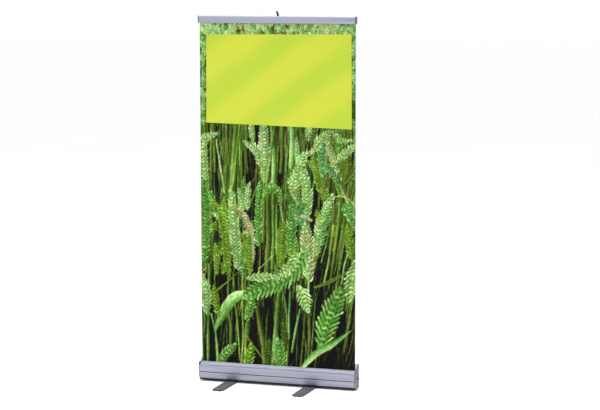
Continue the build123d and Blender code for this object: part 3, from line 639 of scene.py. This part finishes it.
def printed_face(name):
    """Inkjet on matt polyester film: the wheat field from the drawing, sharpened with fibres and
    specks, and a lime panel with soft slanting bands laid over it."""
    material, tree, _ = start_material(name)
    ink_here = add(tree, "ShaderNodeAttribute", attribute_name="print").outputs
    # the place on the stretched film, which stays with the film as it winds down
    place = add(tree, "ShaderNodeAttribute", attribute_name="on_film").outputs["Vector"]
    # leaf fibres run up the film, 1.5 mm across and 60 mm long, and the specks of the ears are 3 mm
    fibres = add(tree, "ShaderNodeTexNoise", {
        "Vector": add(tree, "ShaderNodeMapping", {
            "Vector": place, "Scale": (1 / (1.5 * MM), 1, 1 / (60 * MM))}),
        "Scale": 1.0, "Detail": 3.0})
    specks = add(tree, "ShaderNodeTexNoise", {"Vector": place, "Scale": 1 / (3 * MM), "Detail": 3.0})
    detail = add(tree, "ShaderNodeMix", {"Factor": ink_here["Alpha"], 2: fibres, 3: specks})
    strength = add(tree, "ShaderNodeMapRange", {"Value": detail, **NOISE, "To Min": 0.62, "To Max": 1.38})
    field = add(tree, "ShaderNodeVectorMath", {0: ink_here["Color"], "Scale": strength}, operation="SCALE")

    across, _, up = add(tree, "ShaderNodeSeparateXYZ", {"Vector": place}).outputs
    inside = 1.0
    for limited, slope, limit, side in PANEL_SIDES:
        value, other = (up, across) if limited == "up" else (across, up)
        tilted = add(tree, "ShaderNodeMath", {0: other, 1: slope, 2: value}, operation="MULTIPLY_ADD")
        within = add(tree, "ShaderNodeMath", {0: tilted, 1: limit}, operation=side)
        inside = add(tree, "ShaderNodeMath", {0: inside, 1: within}, operation="MULTIPLY")
    climb = add(tree, "ShaderNodeMath", {0: across, 1: -BAND_SLOPE, 2: up}, operation="MULTIPLY_ADD")
    drift = add(tree, "ShaderNodeTexNoise", {"Vector": place, "Scale": 1 / (300 * MM), "Detail": 1.0})
    climb = add(tree, "ShaderNodeMath", {0: drift, 1: BAND_DRIFT, 2: climb}, operation="MULTIPLY_ADD")
    turns = add(tree, "ShaderNodeMath", {0: climb, 1: math.tau / BAND_PERIOD, 2: BAND_PHASE},
                operation="MULTIPLY_ADD")
    wave = add(tree, "ShaderNodeMapRange", {
        "Value": add(tree, "ShaderNodeMath", {0: turns}, operation="SINE"),
        "From Min": -0.6, "From Max": 0.9, **FACTOR})
    panel = add(tree, "ShaderNodeMix", {"Factor": wave, 6: linear("BFC83F"), 7: linear("AEC33C")},
                data_type="RGBA")
    colour = add(tree, "ShaderNodeMix", {"Factor": inside, 6: field, 7: panel}, data_type="RGBA")
    tooth = add(tree, "ShaderNodeTexNoise", {"Vector": place, "Scale": 1 / (1.2 * MM), "Detail": 2.0})
    gloss = add(tree, "ShaderNodeMapRange", {"Value": tooth, **NOISE, "To Min": 0.60, "To Max": 0.70})
    end_material(tree, {"Base Color": colour, "Roughness": gloss, "Specular IOR Level": 0.12},
                 tooth, 0.012 * MM)
    return material


def to_linear(values):
    """sRGB samples from 0 to 1 as linear ones."""
    values = values.clip(0, 1)
    return np.where(values <= 0.04045, values / 12.92, ((values + 0.055) / 1.055) ** 2.4)


def film_piece():
    """The stretched film: a fine grid in front that holds the print and a plain one behind it,
    closed at the edges."""
    bm = bmesh.new()
    front = bmesh.ops.create_grid(bm, x_segments=FRONT_COLUMNS, y_segments=FRONT_ROWS, size=0.5)["verts"]
    front_rim = [e for e in bm.edges if e.is_boundary]
    back = bmesh.ops.create_grid(bm, x_segments=BACK_COLUMNS, y_segments=BACK_ROWS, size=0.5)["verts"]
    back_rim = [e for v in back for e in v.link_edges if e.is_boundary]
    back_faces = list({f for v in back for f in v.link_faces})
    bmesh.ops.translate(bm, verts=back, vec=(0, 0, -1))
    bmesh.ops.reverse_faces(bm, faces=back_faces)
    rim = bmesh.ops.bridge_loops(bm, edges=front_rim + list(set(back_rim)))["faces"]
    for face in back_faces + rim:
        face.material_index = 1
    # the grids lie flat in x and y, so they are stood up, with the print towards -y
    size = film_high - film_low
    bmesh.ops.translate(bm, verts=bm.verts, vec=(0, 0, 0.5))
    bmesh.ops.scale(bm, verts=bm.verts, vec=(size.x, size.z, size.y))
    bmesh.ops.rotate(bm, verts=bm.verts, cent=(0, 0, 0), matrix=Matrix.Rotation(math.radians(90), 3, "X"))
    bmesh.ops.translate(bm, verts=bm.verts, vec=(film_low + film_high) / 2)
    # a held film is never quite flat: slow ripples that die out at the rail and the slot
    for vertex in bm.verts:
        climb = (vertex.co.z - film_low.z) / size.z
        vertex.co.y += RIPPLE * math.sin(math.pi * climb) * (
            math.sin(vertex.co.x * 19 + climb * 5) + 0.6 * math.sin(vertex.co.x * 9 - climb * 8))
    mesh = bpy.data.meshes.new("banner")
    bm.to_mesh(mesh)
    bm.free()
    mesh.materials.append(printed_face("inkjet print on matt polyester film"))
    mesh.materials.append(plain_film("bare polyester film"))
    # each vertex takes the drawing's colour where it stands
    places = np.empty(len(mesh.vertices) * 3)
    mesh.vertices.foreach_get("co", places)
    mesh.attributes.new("on_film", "FLOAT_VECTOR", "POINT").data.foreach_set("vector", places)
    places = places.reshape(-1, 3) / MM
    column = ((places[:, 0] + FILM_HALF) / INK_CELL).astype(int).clip(1, cols - 1)
    row = ((places[:, 2] - FILM_LOW) / INK_CELL).astype(int).clip(1, rows - 1)
    mixed = sum(ink[row - i, column - j] for i in (0, 1) for j in (0, 1)) / 4
    heads_here = sum(heads[row - i, column - j] for i in (0, 1) for j in (0, 1)) / 4
    colours = np.column_stack([to_linear(mixed), heads_here])
    mesh.color_attributes.new("print", "FLOAT_COLOR", "POINT").data.foreach_set("color", colours.ravel())
    piece = bpy.data.objects.new("banner", mesh)
    bpy.context.collection.objects.link(piece)
    return piece


banner = film_piece()
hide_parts("banner_film")
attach(banner, "base")
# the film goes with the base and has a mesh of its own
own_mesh(banner)


# ---------------------------------------------------------------- finishes on the CAD pieces

ALONG_X, ALONG_Y, ALONG_Z = 0, 1, 2
bar_metal = extruded_aluminium("satin anodised aluminium, bar", "9699A8", "A5A8B6", ALONG_X, 0.52)
# Painted shade: the housing's colour turns near black in a band at the height of its front groove,
# as the shade in that recess. The band goes by height alone, so it also draws a dark line along the
# plain rear wall. The feet's upright side faces are drawn near black as painted shade too.
GROOVE_PAINTED_SHADE = ("Object", 51.3 * MM, 1.7 * MM)
# painted shade: every face of the feet that stands near upright, their sides, is drawn near black
SIDES_PAINTED_SHADE = ("Normal", 0.0, 0.6)
housing_metal = extruded_aluminium("satin anodised aluminium, housing", "9699A8", "A5A8B6", ALONG_X, 0.56,
                                   0.85, GROOVE_PAINTED_SHADE)
tube_metal = extruded_aluminium("satin anodised aluminium, tube", "B2B4BC", "C2C4CB", ALONG_Z, 0.30)
foot_metal = extruded_aluminium("anodised aluminium, foot", "716F7A", "83818D", ALONG_Y, 0.55,
                                0.7, SIDES_PAINTED_SHADE)
coat = powder_coat("black powder coat", "070708", "121214")
abs_grey = moulded_abs("grey ABS, end caps", "55535F", "605E6A")
abs_black = moulded_abs("black ABS", "121214", "1F1F22")
tpr = moulded_rubber("thermoplastic rubber")
zinc = zinc_plated_steel("zinc plated steel")
spring = oiled_spring_wire("oiled spring wire")
felt = pressed_felt("pressed wool felt")
leader = plain_film("plain leader film")

FINISHES = {
    "cassette_housing": housing_metal, "rail_rear_profile": bar_metal, "rail_front_jaw": bar_metal,
    "roller_tube": bar_metal,
    "pole_tube_lower": tube_metal, "pole_tube_middle": tube_metal, "pole_tube_top": tube_metal,
    "foot_bar_left": foot_metal, "foot_bar_right": foot_metal,
    "base_tray": coat, "pole_head": coat,
    "end_cap_left": abs_grey, "end_cap_right": abs_grey, "rail_end_cap_left": abs_grey,
    "rail_end_cap_right": abs_grey,
    "twist_collar_lower": abs_black, "twist_collar_middle": abs_black, "pole_socket": abs_black,
    "middle_tube_bush": abs_black, "top_tube_bush": abs_black, "roller_hub_left": abs_black,
    "roller_hub_right": abs_black, "tension_lock_pin": abs_black, "foot_pivot_spacers": abs_black,
    "foot_pads_left": tpr, "foot_pads_right": tpr,
    "spring_spindle": zinc, "spindle_nut": zinc, "idler_pin": zinc, "end_cap_screws": zinc,
    "foot_pivot_washers": zinc, "foot_pivot_bolts": zinc, "foot_pivot_nuts": zinc,
    "pole_socket_screws": zinc, "rail_hinge_rod": zinc, "spring_anchor": zinc,
    "torsion_spring": spring,
    "slot_felt_front": felt, "slot_felt_rear": felt,
    "leader_strip": leader, "film_roll": leader,
}
for name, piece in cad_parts.items():
    if name in FINISHES:
        piece.data.materials.clear()
        piece.data.materials.append(FINISHES[name])
    elif name != "banner_film":
        raise ValueError(f"no finish is set for {name}")


# ---------------------------------------------------------------- floor, light and camera

def pale_floor():
    """A plain floor, near white and matt, wide enough to reach past every view."""
    bm = bmesh.new()
    bmesh.ops.create_grid(bm, x_segments=1, y_segments=1, size=40)
    mesh = bpy.data.meshes.new("floor")
    bm.to_mesh(mesh)
    bm.free()
    material, tree, place = start_material("matt white floor")
    cloud = add(tree, "ShaderNodeTexNoise", {"Vector": place, "Scale": 1.0, "Detail": 2.0})
    tone = add(tree, "ShaderNodeMix", {"Factor": cloud, 6: linear("FCFCFC"), 7: linear("FFFFFF")},
               data_type="RGBA")
    end_material(tree, {"Base Color": tone, "Roughness": 0.9, "Specular IOR Level": 0.1})
    mesh.materials.append(material)
    floor = bpy.data.objects.new("floor", mesh)
    bpy.context.collection.objects.link(floor)


def softbox(name, place, target, size, power, spread=180):
    """A diffused studio lamp that isn't seen itself; spread is its beam angle in degrees."""
    lamp = bpy.data.lights.new(name, "AREA")
    lamp.shape = "RECTANGLE"
    lamp.size, lamp.size_y = size
    lamp.energy = power
    lamp.spread = math.radians(spread)
    holder = bpy.data.objects.new(name, lamp)
    aim = Vector(target) - Vector(place)
    holder.rotation_euler = aim.to_track_quat("-Z", "Y").to_euler()
    holder.location = place
    holder.visible_camera = False
    bpy.context.collection.objects.link(holder)


pale_floor()
softbox("overhead", (0, -1.0, 6.0), (0, -1.0, 0), (6, 6), 135)
softbox("floor wash", (0, -0.6, 5.0), (0, -0.6, 0), (3.4, 2.4), 17, 40)
softbox("rail glow", (-0.8, -2.1, 1.85), (-0.05, 0, 1.9), (0.5, 0.5), 3.0)

world = bpy.data.worlds.new("white studio")
world.use_nodes = True
world.node_tree.nodes["Background"].inputs["Color"].default_value = linear("FFFFFF")
world.node_tree.nodes["Background"].inputs["Strength"].default_value = 1.0
bpy.context.scene.world = world
bpy.context.scene.view_settings.view_transform = "Standard"

YAW, PITCH, ROLL = 18.17, 7.22, -0.1      # degrees: to the right of the front, downwards, level
camera_data = bpy.data.cameras.new("camera")
camera_data.sensor_width = 36.0
camera_data.lens = 116.9
camera = bpy.data.objects.new("camera", camera_data)
camera.matrix_world = (Matrix.Translation((3.2534, -9.4958, 2.2321))
                       @ Matrix.Rotation(math.radians(YAW), 4, "Z")
                       @ Matrix.Rotation(math.radians(90 - PITCH), 4, "X")
                       @ Matrix.Rotation(math.radians(ROLL), 4, "Z"))
bpy.context.collection.objects.link(camera)
bpy.context.scene.camera = camera
